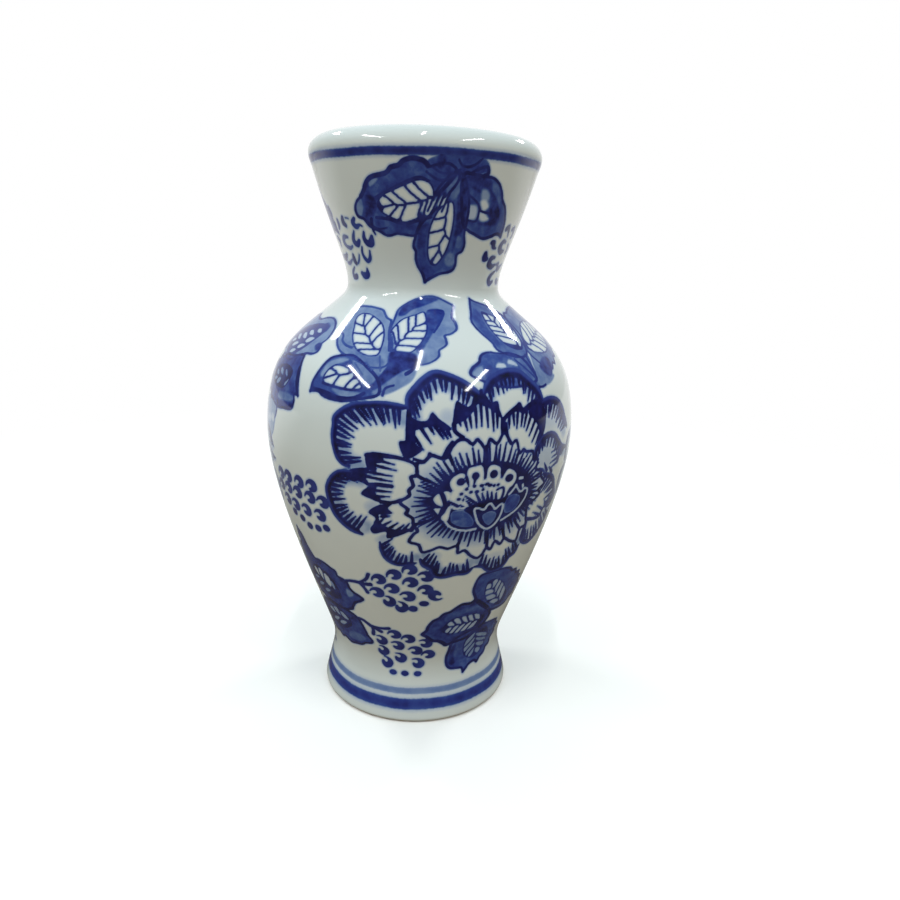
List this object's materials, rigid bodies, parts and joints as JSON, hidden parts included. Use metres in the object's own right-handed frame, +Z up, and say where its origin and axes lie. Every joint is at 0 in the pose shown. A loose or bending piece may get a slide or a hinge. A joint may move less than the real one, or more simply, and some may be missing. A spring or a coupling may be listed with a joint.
{
  "type": "vase",
  "caption": "Baluster vase with a flared neck, rounded lip, swelling belly and turned foot ring, hollow, in glazed porcelain painted with flowers and leaves in underglaze blue.",
  "frame": {"origin": "centre of the resting rim, on the surface that the vase stands on", "axes": "+Z up along the axis of the vase, -Y towards the viewer of the pictured side"},
  "size_m": [0.1102, 0.1102, 0.2],
  "materials": {
    "painted_glaze": "glossy clear glaze over white porcelain with cobalt painting",
    "clear_glaze": "glossy clear glaze over white porcelain"
  },
  "bodies": {
    "root": {"foot_ring": "painted_glaze", "base_disc": "clear_glaze", "lower_body": "painted_glaze", "shoulder": "painted_glaze", "neck": "painted_glaze", "mouth_rim": "painted_glaze"}
  },
  "joints": []
}
